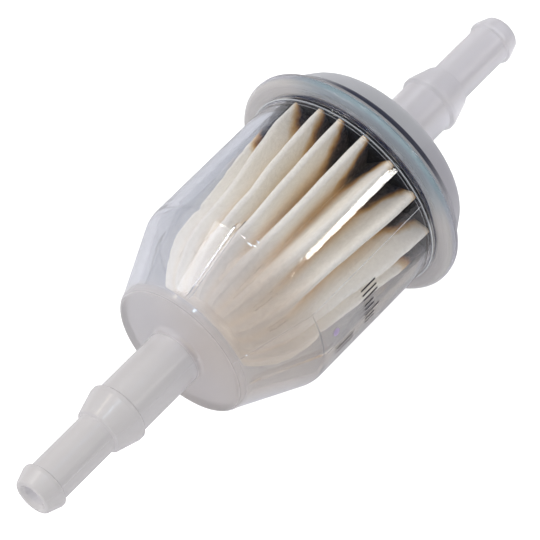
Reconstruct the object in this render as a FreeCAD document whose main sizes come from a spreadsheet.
"""In-line fuel filter: a clear bowl and a domed cap, each with a stepped hose nipple,
welded together at a flange, around a pleated paper element on a dark plate.

Millimetres. The axis of the filter is +X, from inlet to outlet, +Z is up, and the origin
is on the axis, midway between the two nipples' mouths. Every "station" in the sheet is
measured along the axis from the inlet's mouth.
"""
import FreeCAD, Part
import math
import os

import Sketcher

os.makedirs("parts", exist_ok=True)

# ---------------------------------------------------------------- driving dimensions
DIMENSIONS = [
    ("overall_length", 116.0, "mouth to mouth"),
    ("bore_radius", 1.9, "fuel passage in both nipples"),
    ("mouth_radius", 3.2, "outside of the nipple at its mouth"),
    ("mouth_flare", 0.5, "countersink of the bore at the mouth"),
    ("small_barb_radius", 4.05, "barb of the small hose size"),
    ("small_barb_start", 2.5, "mouth to the barb's land"),
    ("small_barb_land", 0.6, "length of the barb's land"),
    ("small_tube_radius", 3.55, "tube for the small hose"),
    ("barb_back", 0.2, "length of the small steps along a nipple"),
    ("large_barb_start", 14.8, "mouth to the foot of the large barb"),
    ("large_barb_foot", 4.1, "radius at the foot of the large barb"),
    ("large_barb_radius", 5.25, "barb of the large hose size"),
    ("large_barb_end", 19.0, "mouth to the large barb's land"),
    ("large_barb_land", 0.7, "length of the large barb's land"),
    ("large_barb_back", 0.4, "length of the step behind the large barb"),
    ("large_tube_radius", 4.7, "tube for the large hose"),
    ("shoulder_station", 33.6, "flat face of the bowl at the inlet"),
    ("shoulder_radius", 12.4, "bowl behind its flat face"),
    ("shoulder_fillet", 1.2, "round edge of the flat face"),
    ("shoulder_depth", 1.4, "flat face to the start of the cone"),
    ("face_wall", 2.0, "thickness of the flat face"),
    ("bend_station", 46.9, "end of the cone"),
    ("bend_radius", 17.9, "bowl at the end of the cone"),
    ("bend_fillet", 4.0, "outer round between cone and cylinder"),
    ("bend_fillet_inside", 2.6, "inner round between cone and cylinder"),
    ("bowl_wall", 1.4, "wall of the bowl's cylinder"),
    ("bowl_top_radius", 18.0, "bowl at the flange"),
    ("cone_start_inside", 10.7, "inside of the cone at the flat face"),
    ("bend_station_inside", 47.4, "end of the cone, inside"),
    ("step_length", 0.7, "small step at the foot of the flange"),
    ("step_radius", 18.3, "radius of that step"),
    ("flange_station", 74.4, "front face of the flange"),
    ("flange_radius", 21.1, "outside of the flange"),
    ("flange_thickness", 1.6, "bowl's half of the flange"),
    ("flange_fillet", 1.3, "round front edge of the flange"),
    ("seat_station", 74.7, "bottom of the seat in the bowl's flange"),
    ("seat_radius", 17.6, "radius of the seat for gasket and plate"),
    ("gasket_thickness", 0.5, "rubber ring under the plate"),
    ("gasket_inner", 16.7, "inner radius of the rubber ring"),
    ("plate_thickness", 1.0, "dark plate that carries the paper"),
    ("plate_hole", 7.6, "hole in the plate, inside the pleats"),
    ("collar_end", 78.5, "end of the plate's collar inside the cap"),
    ("collar_inner", 16.6, "inner radius of the collar"),
    ("rim_radius", 21.0, "cap's half of the flange"),
    ("rim_thickness", 0.5, "cap's rim behind the weld"),
    ("groove_radius", 19.2, "cap between its rim and its dome"),
    ("dome_start", 78.25, "end of the groove, start of the dome"),
    ("dome_radius", 19.3, "widest part of the dome"),
    ("dome_corner", 82.4, "station where the dome's side turns in"),
    ("dome_corner_radius", 16.95, "radius where the dome's side turns in"),
    ("dome_top", 86.0, "station of the dome's top at the nipple"),
    ("dome_top_radius", 11.0, "radius where the dome's top begins"),
    ("dome_rise", 0.6, "how far the dome's top rises to the nipple"),
    ("dome_round", 2.2, "rounding of the dome's corners"),
    ("cap_wall", 1.5, "wall of the cap"),
    ("cap_seat_inside", 16.6, "inside of the cap at the end of the plate's collar"),
    ("root_fillet", 0.8, "round at the foot of a nipple"),
    ("rib_count", 4, "ribs inside the bowl's cone"),
    ("rib_thickness", 0.8, "thickness of a rib"),
    ("rib_height", 0.7, "rib above the inside of the cone"),
    ("rib_start", 37.0, "first station of a rib"),
    ("rib_end", 47.5, "last station of a rib"),
    ("pleat_count", 18, "folds of the paper"),
    ("pleat_turn", 7.0, "angle of the first fold about the axis, in degrees"),
    ("paper_thickness", 0.45, "filter paper"),
    ("pleat_tip_plate", 16.0, "tip radius of the pleats at the plate"),
    ("pleat_tip_middle", 12.8, "tip radius where the pleats begin to close"),
    ("pleat_tip_gather", 10.9, "tip radius half way round the gathered end"),
    ("pleat_tip_end", 8.6, "tip radius of the pleats at the closed end"),
    ("pleat_valley_ratio", 0.6, "valley radius as a share of tip radius"),
    ("paper_start", 40.2, "paper's end at the closed end"),
    ("paper_gather", 43.0, "station half way round the gathered end"),
    ("paper_middle", 47.0, "station where the pleats begin to close"),
    ("potting_thickness", 1.4, "hardened resin that closes the element"),
    ("potting_radius", 8.9, "radius of the closed end"),
    ("potting_round", 0.6, "round edge of the closed end"),
    ("bed_thickness", 0.6, "adhesive between paper and plate"),
    ("bed_radius", 16.3, "outside of the adhesive bed"),
    ("seam_depth", 1.4, "adhesive inside the pleat that joins the strip's ends"),
    ("seam_gap", 0.03, "clearance between the seam's adhesive and the paper"),
]

# A new sketch starts as a small loop out here, before its constraints pull it into place.
ROUGH_STATION = 50
ROUGH_RADIUS = 30
ROUGH_SIZE = 9
# An edge this close to a wanted station and radius is the wanted edge.
NEAR = 0.02

doc = FreeCAD.newDocument("fuel_filter")
sheet = doc.addObject("Spreadsheet::Sheet", "Sheet")
for row, (alias, value, note) in enumerate(DIMENSIONS, start=1):
    sheet.set("A%d" % row, alias)
    sheet.set("B%d" % row, str(value))
    sheet.set("C%d" % row, note)
    sheet.setAlias("B%d" % row, alias)
doc.recompute()


def size(alias):
    """The sheet's value as a number, for shapes worked out in code."""
    return float(sheet.get(alias))


def cell(text):
    """An expression with each bare alias turned into a reference to the sheet."""
    words = text.split(" ")
    names = {alias for alias, value, note in DIMENSIONS}
    return " ".join("Sheet." + word if word in names else word for word in words)


# ---------------------------------------------------------------- building blocks
def origin_feature(body, role):
    for feature in body.Origin.OriginFeatures:
        if feature.Role == role:
            return feature
    raise RuntimeError("no origin feature " + role)


def new_body(label):
    """A body whose own frame starts at the inlet's mouth, moved to the shared frame."""
    body = doc.addObject("PartDesign::Body", label)
    body.Label = label
    body.setExpression(".Placement.Base.x", cell("- overall_length / 2"))
    return body


def outline(body, name, corners):
    """A closed sketch on the XZ plane: each corner is a pair of expressions (station, radius)."""
    sketch = body.newObject("Sketcher::SketchObject", name)
    sketch.AttachmentSupport = (origin_feature(body, "XZ_Plane"), [""])
    sketch.MapMode = "FlatFace"
    count = len(corners)
    turns = [2 * math.pi * index / count for index in range(count + 1)]
    loop = [FreeCAD.Vector(ROUGH_STATION + ROUGH_SIZE * math.cos(turn),
                           ROUGH_RADIUS + ROUGH_SIZE * math.sin(turn), 0) for turn in turns]
    for start, end in zip(loop, loop[1:]):
        sketch.addGeometry(Part.LineSegment(start, end), False)
    for index in range(count):
        sketch.addConstraint(Sketcher.Constraint("Coincident", index, 2, (index + 1) % count, 1))
    for index, (station, radius) in enumerate(corners):
        place_point(sketch, "DistanceX", index, station)
        place_point(sketch, "DistanceY", index, radius)
    return sketch


def place_point(sketch, kind, index, expression):
    """Ties a line's start to the axes by an expression, or to the axis itself for a zero."""
    if expression == "0":
        axis = -2 if kind == "DistanceX" else -1
        sketch.addConstraint(Sketcher.Constraint("PointOnObject", index, 1, axis))
        return
    number = sketch.addConstraint(Sketcher.Constraint(kind, -1, 1, index, 1, ROUGH_RADIUS))
    sketch.setExpression("Constraints[%d]" % number, cell(expression))


def revolve(body, name, corners):
    """A full turn of an outline about the filter's axis."""
    sketch = outline(body, name + "_outline", corners)
    doc.recompute()
    turned = body.newObject("PartDesign::Revolution", name)
    turned.Profile = sketch
    turned.ReferenceAxis = (sketch, ["H_Axis"])
    turned.Angle = 360
    doc.recompute()
    return turned


def circles_at(shape, station, radius):
    """Names of the round edges of a shape at one station and radius."""
    found = []
    for number, edge in enumerate(shape.Edges, start=1):
        curve = edge.Curve
        if isinstance(curve, Part.Circle) and abs(curve.Radius - radius) < NEAR:
            if abs(curve.Center.x - station) < NEAR and abs(curve.Axis.x) > 0.99:
                found.append("Edge%d" % number)
    return found


def round_edges(body, name, base, places, alias):
    """One fillet on the round edges at the given (station, radius) places."""
    edges = []
    for station, radius in places:
        found = circles_at(base.Shape, station, radius)
        if not found:
            raise RuntimeError("%s finds no edge at %.2f, %.2f" % (name, station, radius))
        edges += found
    fillet = body.newObject("PartDesign::Fillet", name)
    fillet.Base = (base, edges)
    fillet.setExpression("Radius", cell(alias))
    doc.recompute()
    return fillet


def nipple(mouth, sign):
    """Corners of a stepped hose nipple's outside, from its mouth to its large tube."""
    def station(offset):
        return "%s %s ( %s )" % (mouth, sign, offset)
    return [
        (mouth, "bore_radius + mouth_flare"),
        (mouth, "mouth_radius"),
        (station("small_barb_start"), "small_barb_radius"),
        (station("small_barb_start + small_barb_land"), "small_barb_radius"),
        (station("small_barb_start + small_barb_land + barb_back"), "small_tube_radius"),
        (station("large_barb_start"), "small_tube_radius"),
        (station("large_barb_start + barb_back"), "large_barb_foot"),
        (station("large_barb_end"), "large_barb_radius"),
        (station("large_barb_end + large_barb_land"), "large_barb_radius"),
        (station("large_barb_end + large_barb_land + large_barb_back"), "large_tube_radius"),
    ]


# ---------------------------------------------------------------- clear bowl
def make_bowl():
    body = new_body("clear_bowl")
    corners = nipple("0", "+") + [
        ("shoulder_station", "large_tube_radius"),
        ("shoulder_station", "shoulder_radius - shoulder_fillet / 2"),
        ("shoulder_station + shoulder_depth", "shoulder_radius"),
        ("bend_station", "bend_radius"),
        ("flange_station - step_length", "bowl_top_radius"),
        ("flange_station - step_length", "step_radius"),
        ("flange_station", "step_radius"),
        ("flange_station", "flange_radius"),
        ("flange_station + flange_thickness", "flange_radius"),
        ("flange_station + flange_thickness", "seat_radius"),
        ("seat_station", "seat_radius"),
        ("seat_station", "bowl_top_radius - bowl_wall"),
        ("bend_station_inside", "bend_radius - bowl_wall"),
        ("shoulder_station + face_wall", "cone_start_inside"),
        ("shoulder_station + face_wall", "bore_radius"),
        ("mouth_flare", "bore_radius"),
    ]
    shell = revolve(body, "bowl_shell", corners)
    flange = round_edges(body, "flange_edge", shell,
                         [(size("flange_station"), size("flange_radius"))], "flange_fillet")
    rim_of_face = size("shoulder_radius") - size("shoulder_fillet") / 2
    shoulder = round_edges(body, "shoulder_edge", flange,
                           [(size("shoulder_station"), rim_of_face)], "shoulder_fillet")
    bend = round_edges(body, "bend_outside", shoulder,
                       [(size("bend_station"), size("bend_radius"))], "bend_fillet")
    inner = round_edges(body, "bend_inside", bend,
                        [(size("bend_station_inside"), size("bend_radius") - size("bowl_wall"))],
                        "bend_fillet_inside")
    root = round_edges(body, "inlet_root", inner,
                       [(size("shoulder_station"), size("large_tube_radius"))], "root_fillet")
    before = root.Shape.Volume
    # The rib's outline runs from within the wall to its free edge above the cone.
    slope = ("( bend_radius - bowl_wall - cone_start_inside ) / "
             "( bend_station_inside - shoulder_station - face_wall )")
    wall_at_start = "cone_start_inside + ( rib_start - shoulder_station - face_wall ) * " + slope
    wall_at_end = "bend_radius - bowl_wall"
    ribs = outline(body, "rib_outline", [
        ("rib_start", wall_at_start + " - rib_height"),
        ("rib_end", wall_at_end + " - rib_height"),
        ("rib_end", wall_at_end + " + bowl_wall / 2"),
        ("rib_start", wall_at_start + " + bowl_wall / 2"),
    ])
    doc.recompute()
    rib = body.newObject("PartDesign::Pad", "rib")
    rib.Profile = ribs
    rib.setExpression("Length", cell("rib_thickness"))
    rib.Midplane = True
    doc.recompute()
    pattern = body.newObject("PartDesign::PolarPattern", "ribs")
    pattern.Originals = [rib]
    pattern.Axis = (origin_feature(body, "X_Axis"), [""])
    pattern.Angle = 360
    pattern.setExpression("Occurrences", cell("rib_count"))
    body.Tip = pattern
    doc.recompute()
    if pattern.Shape.Volume <= before:
        raise RuntimeError("the ribs add nothing to the bowl")
    return body


# ---------------------------------------------------------------- outlet cap
def make_cap():
    body = new_body("outlet_cap")
    weld = "flange_station + flange_thickness"
    outlet = nipple("overall_length", "-")
    corners = [
        (weld, "seat_radius"),
        (weld, "rim_radius"),
        (weld + " + rim_thickness", "rim_radius"),
        (weld + " + rim_thickness", "groove_radius"),
        ("dome_start", "groove_radius"),
        ("dome_start", "dome_radius"),
        ("dome_corner", "dome_corner_radius"),
        ("dome_top - dome_rise", "dome_top_radius"),
        ("dome_top", "large_tube_radius"),
    ] + outlet[::-1] + [
        ("overall_length - mouth_flare", "bore_radius"),
        ("dome_top - cap_wall", "bore_radius"),
        ("dome_top - dome_rise - cap_wall", "dome_top_radius - cap_wall / 2"),
        ("dome_corner - dome_rise", "dome_corner_radius - cap_wall"),
        ("collar_end", "cap_seat_inside"),
        ("collar_end", "seat_radius"),
    ]
    shell = revolve(body, "cap_shell", corners)
    dome = round_edges(body, "dome_edges", shell,
                       [(size("dome_corner"), size("dome_corner_radius")),
                        (size("dome_top") - size("dome_rise"), size("dome_top_radius"))], "dome_round")
    round_edges(body, "outlet_root", dome,
                [(size("dome_top"), size("large_tube_radius"))], "root_fillet")
    return body


# ---------------------------------------------------------------- plate, gasket and adhesives
def make_gasket():
    body = new_body("plate_gasket")
    back = "seat_station + gasket_thickness"
    revolve(body, "gasket_ring", [("seat_station", "gasket_inner"), ("seat_station", "seat_radius"),
                                  (back, "seat_radius"), (back, "gasket_inner")])
    return body


def make_plate():
    body = new_body("element_plate")
    front = "seat_station + gasket_thickness"
    back = front + " + plate_thickness"
    revolve(body, "plate_disc", [
        (front, "plate_hole"),
        (front, "seat_radius"),
        ("collar_end", "seat_radius"),
        ("collar_end", "collar_inner"),
        (back, "collar_inner"),
        (back, "plate_hole"),
    ])
    return body


def make_bed():
    body = new_body("plate_adhesive")
    back = "seat_station + gasket_thickness"
    front = back + " - bed_thickness"
    revolve(body, "bed_ring", [(front, "plate_hole"), (front, "bed_radius"),
                               (back, "bed_radius"), (back, "plate_hole")])
    return body


def make_potting():
    body = new_body("closed_end_resin")
    front = "paper_start - potting_thickness"
    disc = revolve(body, "resin_disc", [(front, "0"), (front, "potting_radius"),
                                        ("paper_start", "potting_radius"), ("paper_start", "0")])
    round_edges(body, "resin_edge", disc,
                [(size("paper_start") - size("potting_thickness"), size("potting_radius"))],
                "potting_round")
    return body


# ---------------------------------------------------------------- pleated paper
def pleat_sections():
    """(station, tip radius) of the element, from its closed end to the adhesive bed."""
    bed = size("seat_station") + size("gasket_thickness") - size("bed_thickness")
    return [
        (size("paper_start"), size("pleat_tip_end")),
        (size("paper_gather"), size("pleat_tip_gather")),
        (size("paper_middle"), size("pleat_tip_middle")),
        (bed, size("pleat_tip_plate")),
    ]


def star(station, tip, valley):
    """A closed star with one tip and one valley a fold, square to the axis."""
    folds = int(size("pleat_count"))
    points = []
    for index in range(2 * folds):
        angle = math.pi * index / folds
        radius = tip if index % 2 == 0 else valley
        points.append(FreeCAD.Vector(station, radius * math.cos(angle), radius * math.sin(angle)))
    return Part.makePolygon(points + points[:1])


def fold_lean():
    """Angle between a fold's face and the radius through its tip."""
    half_pitch = math.pi / size("pleat_count")
    ratio = size("pleat_valley_ratio")
    return math.atan2(ratio * math.sin(half_pitch), 1 - ratio * math.cos(half_pitch))


def computed(label, shape):
    """A solid worked out in code, turned with the folds and moved to the shared frame."""
    feature = doc.addObject("Part::Feature", label)
    feature.Label = label
    feature.Shape = shape
    turn = FreeCAD.Rotation(FreeCAD.Vector(1, 0, 0), size("pleat_turn"))
    feature.Placement = FreeCAD.Placement(FreeCAD.Vector(-size("overall_length") / 2, 0, 0), turn)
    return feature


def make_paper():
    ratio = size("pleat_valley_ratio")
    half_pitch = math.pi / size("pleat_count")
    tip_in = size("paper_thickness") / math.sin(fold_lean())
    valley_in = size("paper_thickness") / math.sin(fold_lean() + half_pitch)
    outside = [star(x, tip, ratio * tip) for x, tip in pleat_sections()]
    inside = [star(x, tip - tip_in, ratio * tip - valley_in) for x, tip in pleat_sections()]
    solid = Part.makeLoft(outside, True, True).cut(Part.makeLoft(inside, True, True))
    return computed("pleated_paper", solid)


def make_seam():
    """A bead of adhesive deep in one pleat, where the two ends of the strip meet."""
    inward = (size("paper_thickness") + size("seam_gap")) / math.sin(fold_lean())
    depth = size("seam_depth")
    half_width = depth * math.tan(fold_lean())
    wires = []
    for x, tip in pleat_sections():
        top = tip - inward
        corners = [(top, 0), (top - depth, half_width), (top - depth, -half_width)]
        points = [FreeCAD.Vector(x, y, z) for y, z in corners]
        wires.append(Part.makePolygon(points + points[:1]))
    return computed("seam_adhesive", Part.makeLoft(wires, True, True))


pieces = [make_bowl(), make_cap(), make_gasket(), make_plate(), make_bed(), make_potting(),
          make_paper(), make_seam()]
doc.recompute()

# ---------------------------------------------------------------- checks and export
for item in doc.Objects:
    if "Invalid" in item.State or "Error" in item.State:
        raise RuntimeError("%s failed: %s" % (item.Name, item.State))
for piece in pieces:
    if piece.Shape.isNull() or not piece.Shape.isValid():
        raise RuntimeError(piece.Label + " has no valid shape")
    if len(piece.Shape.Solids) != 1:
        raise RuntimeError("%s has %d solids" % (piece.Label, len(piece.Shape.Solids)))
for piece in pieces:
    piece.Shape.exportStep("parts/%s.step" % piece.Label)
    box = piece.Shape.BoundBox
    print("%-18s volume %9.1f  x %7.2f..%7.2f  r %6.2f"
          % (piece.Label, piece.Shape.Volume, box.XMin, box.XMax, box.ZMax))
